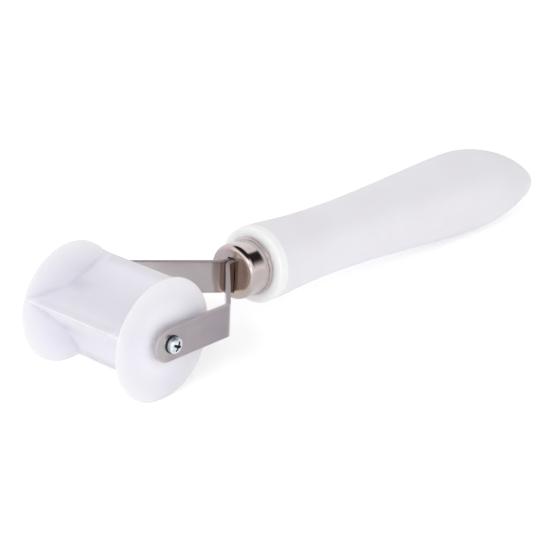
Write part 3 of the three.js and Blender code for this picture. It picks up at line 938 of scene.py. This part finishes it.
def zinc_plate():
    """Bright zinc: a bluish grey metal, mottled by its thin passivated skin, with painted shade in the
    recess.
    """
    material, shader, start = new_finish("zinc_plate")
    place = object_place(start)
    mottle = place.noise(900.0, 2.0)
    skin = mottle.ramp(0.3, 0.7).mix(colour(206, 219, 232), colour(242, 248, 252))
    # Painted shade in the recess.
    recess_shade = own_place(start).part("Z").ramp(*RECESS_SHADE_DEPTH)
    recess_shade.mix(skin, colour(46, 52, 62)).into(shader, "Base Color")
    (0.36 + 0.10 * mottle).into(shader, "Roughness")
    place.noise(1500.0, 1.0).bump(0.08, 0.00003).into(shader, "Normal")
    shader.inputs["Metallic"].default_value = 1.0
    return material


ZINC_PLATE = zinc_plate()
print("finish:", ZINC_PLATE.name)

# %% Screw meshes
HEAD_RADIUS = 2.75
HEAD_HEIGHT = 2.4
HEAD_WALL = 1.1
SCREW_RADIUS = 1.5
RECESS_REACH = 1.85
RECESS_WIDTH = 0.4
RECESS_DEPTH = 1.5
RECESS_WALL = 0.12
RECESS_RUNOUT = 0.35
RECESS_TAPER = 0.25
RECESS_RISE = 0.45
RECESS_TURN = math.radians(-23)
SCREW_STEPS = 192
DOME_STEPS = 80
TIP_EASE = 0.4
TOUCH = 0.03
LOCK_RING = 0.35
HEAD_SEAT = ARM_OUTSIDE + LOCK_RING + TOUCH
SCREW_END = -tool_box("axle_screw_near")[1][1]


def soft_step(value, low, high):
    """0 to 1 between two values along a smooth S."""
    t = np.clip((value - low) / (high - low), 0.0, 1.0)
    return t * t * (3 - 2 * t)


def recess_depth(radius, angle):
    """Depth of the cross: within a groove's width of either line, running out towards its ends."""
    u = np.abs(radius * np.cos(angle - RECESS_TURN))
    v = np.abs(radius * np.sin(angle - RECESS_TURN))
    width = RECESS_WIDTH * (1 - RECESS_TAPER * radius / RECESS_REACH)
    groove = np.minimum(u, v) - width
    run_out = soft_step(radius, RECESS_REACH, RECESS_REACH - RECESS_RUNOUT)
    inside = soft_step(groove, RECESS_WALL, 0.0) * run_out
    return RECESS_DEPTH * (1 - RECESS_RISE * radius / RECESS_REACH) * inside


def screw_mesh(name, side):
    """Dome, wall, underside and shank as rings about the axle, the recess taken off the dome."""
    slope = np.linspace(0.0, math.pi / 2, DOME_STEPS)
    rings = HEAD_RADIUS * np.sin(slope)
    crown = HEAD_WALL + (HEAD_HEIGHT - HEAD_WALL) * np.cos(slope)
    shank_end = SCREW_END - HEAD_SEAT
    lower = np.array([
        [0.0, HEAD_RADIUS],
        [0.0, SCREW_RADIUS],
        [shank_end + TIP_EASE, SCREW_RADIUS],
        [shank_end, SCREW_RADIUS - TIP_EASE],
        [shank_end, 0.0],
    ])
    outline = np.vstack([np.column_stack([crown, rings]), lower])
    angles = full_turn(SCREW_STEPS)
    radius = outline[:, 1:] + 0 * angles
    height = outline[:, :1] + 0 * angles
    depth = 0 * height
    depth[:len(rings)] = recess_depth(radius[:len(rings)], angles)
    height = height - depth
    along = side * (HEAD_SEAT + height)
    points = np.stack([radius * np.cos(angles), along, radius * np.sin(angles)], axis=-1)
    place = np.stack([height, radius, depth], axis=-1)
    return grid_mesh(name, points, place, joined_rows=False)


for label, side in (("near", -1), ("far", 1)):
    screw = screw_mesh("pan_screw_" + label, side)
    add_piece("axle_screw_" + label, screw, FORK_BODY, ZINC_PLATE)

# %% [markdown]
# ## Rings and sleeve
# Under each screw head lies a black ring, between arm and roller a nylon spacer, and through the
# roller runs the steel sleeve that it turns on. All are rings with eased edges, so one function
# makes them: a rounded rectangle turned about the axle.

# %% Ring finishes
def black_ring_finish():
    """Blackened spring steel: near black, dull, with a faint grain."""
    material, shader, start = new_finish("black_ring")
    grain = object_place(start).noise(1800.0, 2.0)
    grain.mix(colour(16, 16, 19), colour(34, 33, 36)).into(shader, "Base Color")
    (0.45 + 0.2 * grain).into(shader, "Roughness")
    grain.bump(0.2, 0.00003).into(shader, "Normal")
    return material


def nylon_finish():
    """Natural nylon: milky white, slightly yellow, satin."""
    material, shader, start = new_finish("natural_nylon")
    cloud = object_place(start).noise(400.0, 2.0)
    cloud.mix(colour(232, 229, 218), colour(222, 219, 208)).into(shader, "Base Color")
    (0.4 + 0.15 * cloud).into(shader, "Roughness")
    return material


def turned_steel():
    """Plain steel from a lathe: grey, with fine rings along its length."""
    material, shader, start = new_finish("plain_steel")
    rings = object_place(start).stretch(200.0, 6000.0, 200.0).noise(1.0, 2.0)
    rings.mix(colour(158, 156, 156), colour(182, 179, 178)).into(shader, "Base Color")
    (0.22 + 0.16 * rings).into(shader, "Roughness")
    rings.bump(0.1, 0.00002).into(shader, "Normal")
    shader.inputs["Metallic"].default_value = 1.0
    return material


BLACK_RING = black_ring_finish()
NATURAL_NYLON = nylon_finish()
PLAIN_STEEL = turned_steel()
print("finishes:", BLACK_RING.name, NATURAL_NYLON.name, PLAIN_STEEL.name)

# %% Ring meshes
RING_STEPS = 72
RING_BORE = 1.65
RING_RADIUS = 3.05
RING_EASE = 0.12
CORNER_STEPS = 5
SLEEVE_EASE = 0.2
RUNNING_GAP = 0.1
SPACER_RADIUS = tool_box("spacer_washer_near")[1][0]


def ring_mesh(name, low, high, bore, outer, ease):
    """A ring about the axle: a rectangle with rounded corners in (along, radius), turned."""
    corners = [
        arc(high - ease, outer - ease, ease, 0, 90, CORNER_STEPS),
        arc(low + ease, outer - ease, ease, 90, 180, CORNER_STEPS),
        arc(low + ease, bore + ease, ease, 180, 270, CORNER_STEPS),
        arc(high - ease, bore + ease, ease, 270, 360, CORNER_STEPS),
    ]
    outline = np.vstack(corners)
    angles = full_turn(RING_STEPS)
    points = about_axle(outline[:, :1] + 0 * angles, outline[:, 1:] + 0 * angles, angles)
    return grid_mesh(name, points, points)


for label, side in (("near", -1), ("far", 1)):
    ring_ends = sorted([side * (ARM_OUTSIDE + TOUCH), side * (HEAD_SEAT - TOUCH)])
    ring = ring_mesh("lock_ring_" + label, *ring_ends, RING_BORE, RING_RADIUS, RING_EASE)
    add_piece("screw_washer_" + label, ring, FORK_BODY, BLACK_RING)
    spacer_ends = sorted([side * (HUB_FACE + RUNNING_GAP), side * (ARM_INSIDE - TOUCH)])
    spacer = ring_mesh("spacer_ring_" + label, *spacer_ends, ROLLER_BORE, SPACER_RADIUS, RING_EASE)
    add_piece("spacer_washer_" + label, spacer, FORK_BODY, NATURAL_NYLON)

sleeve_low, sleeve_high = tool_box("axle_sleeve")
sleeve_ends = (sleeve_low[1], sleeve_high[1])
sleeve = ring_mesh("axle_tube", *sleeve_ends, RING_BORE, sleeve_high[0], SLEEVE_EASE)
add_piece("axle_sleeve", sleeve, FORK_BODY, PLAIN_STEEL)

pin = frame["nodes"]["tang_pin"]
pin.data.materials.clear()
pin.data.materials.append(PLAIN_STEEL)
print("tang pin keeps its shape, with", PLAIN_STEEL.name)

# %% [markdown]
# ## Floor, studio and light
# The tool lies on a white light table: the floor glows a little, so undersides are as bright as the
# sides, and the ceiling is dim. The far end of the room is dimmer too, so the light falls off along
# the handle, and one soft key stands near the camera, where it throws hardly a shadow.
# Seen directly, floor and room are white, and the floor keeps a soft shadow. The bright ferrule
# shows the studio itself: pale walls, a dark ceiling, a dark gap between the lights at the right,
# and the dark camera.

# %% Floor
FLOOR_HALF = 3.0
FLOOR_GAP = 0.0001
TABLE_GLOW = 0.22
SEEN_GLOW = 0.37


def grey(level):
    """A grey of this linear level."""
    return (level, level, level, 1.0)


def white_floor():
    """A matt white light table; seen directly it is a little brighter than it glows."""
    material, shader, start = new_finish("white_floor")
    grain = object_place(start).noise(40.0, 2.0)
    grain.mix(grey(0.86), grey(0.88)).into(shader, "Base Color")
    shader.inputs["Roughness"].default_value = 1.0
    shader.inputs["Specular IOR Level"].default_value = 0.0
    shader.inputs["Emission Strength"].default_value = 1.0
    seen = start.node("ShaderNodeLightPath", {}, {}, output="Is Camera Ray")
    seen.mix(grey(TABLE_GLOW), grey(SEEN_GLOW)).into(shader, "Emission Color")
    return material


floor_mesh = bpy.data.meshes.new("floor")
edge = np.array([[-1, -1, 0], [1, -1, 0], [1, 1, 0], [-1, 1, 0]]) * FLOOR_HALF
edge[:, 2] = CAD_BOX[0][2] - FLOOR_GAP
floor_mesh.from_pydata(edge.tolist(), [], [(0, 1, 2, 3)])
floor_mesh.materials.append(white_floor())
floor = bpy.data.objects.new("floor", floor_mesh)
bpy.context.scene.collection.objects.link(floor)
print("floor at", edge[0, 2])

# %% World
WALL = (1.15, 1.11, 1.12, 1.0)
HALO = (1.9, 1.86, 1.82, 1.0)
DARK = (0.02, 0.018, 0.02, 1.0)
HORIZON_LEVEL = 0.92
ZENITH_LEVEL = 0.64
FAR_END_LEVEL = 0.58
CEILING = (0.68, 0.84)
GAP_HEIGHT = (0.11, 0.49)
GAP_LEFT = math.radians(15)
GAP_RIGHT = math.radians(77)
GAP_EDGES = ((0.0, 0.3), (0.09, 0.01))
DIMMING = (0.2, 1.0)
LENS = (0.990, 0.996)
HALO_REACH = (0.88, 0.95)


def compass(direction, azimuth):
    """How far a direction lies past an azimuth, measured as the view's is."""
    onward = (math.cos(azimuth), math.sin(azimuth), 0.0)
    return direction.node("ShaderNodeVectorMath", {"operation": "DOT_PRODUCT"},
                          {0: direction, 1: onward}, output="Value")


def studio_world():
    """Camera rays see white; mirrors see walls, ceiling, gap and camera; the rest is soft light."""
    world = bpy.data.worlds.new("studio")
    world.use_nodes = True
    start = Wire(world.node_tree)
    background = world.node_tree.nodes["Background"]
    direction = start.node("ShaderNodeTexCoord", {}, {}, output="Generated")
    up = direction.part("Z")
    lens = direction.node("ShaderNodeVectorMath", {"operation": "DOT_PRODUCT"},
                          {0: direction, 1: tuple(TO_CAMERA @ TOOL_AXES)}, output="Value")
    gap = up.ramp(*GAP_HEIGHT) * compass(direction, GAP_LEFT).ramp(*GAP_EDGES[0])
    gap = gap * compass(direction, GAP_RIGHT).ramp(*GAP_EDGES[1])
    dark = start.math("MAXIMUM", start.math("MAXIMUM", up.ramp(*CEILING), gap), lens.ramp(*LENS))
    mirrored = dark.mix(lens.ramp(*HALO_REACH).mix(WALL, HALO), DARK)
    soft = up.ramp(*DIMMING).mix(grey(HORIZON_LEVEL), grey(ZENITH_LEVEL))
    soft = direction.part("X").ramp(*DIMMING).mix(soft, grey(FAR_END_LEVEL))
    glossy_ray = start.node("ShaderNodeLightPath", {}, {}, output="Is Glossy Ray")
    camera_ray = start.node("ShaderNodeLightPath", {}, {}, output="Is Camera Ray")
    camera_ray.mix(glossy_ray.mix(soft, mirrored), grey(1.0)).into(background, "Color")
    bpy.context.scene.world = world
    return world


print("world:", studio_world().name)

# %% Key light
KEY_DISTANCE = 1.1
KEY_SIZE = 0.6
KEY_POWER = 3.2
KEY_LEFT = 0.25
KEY_ABOVE = 0.2
toward_key = (TO_CAMERA - KEY_LEFT * view_right + KEY_ABOVE * view_up) @ TOOL_AXES
back = toward_key / np.linalg.norm(toward_key)
key_data = bpy.data.lights.new("key", "AREA")
key_data.size = KEY_SIZE
key_data.energy = KEY_POWER
key = bpy.data.objects.new("key", key_data)
right = np.cross((0, 0, 1), back)
right = right / np.linalg.norm(right)
turned = np.eye(4)
turned[:3, 0] = right
turned[:3, 1] = np.cross(back, right)
turned[:3, 2] = back
turned[:3, 3] = KEY_DISTANCE * back
key.matrix_world = turned.T.tolist()
key.visible_glossy = False
bpy.context.scene.collection.objects.link(key)
bpy.context.scene.view_settings.view_transform = "Standard"
print("key light", KEY_POWER, "W")
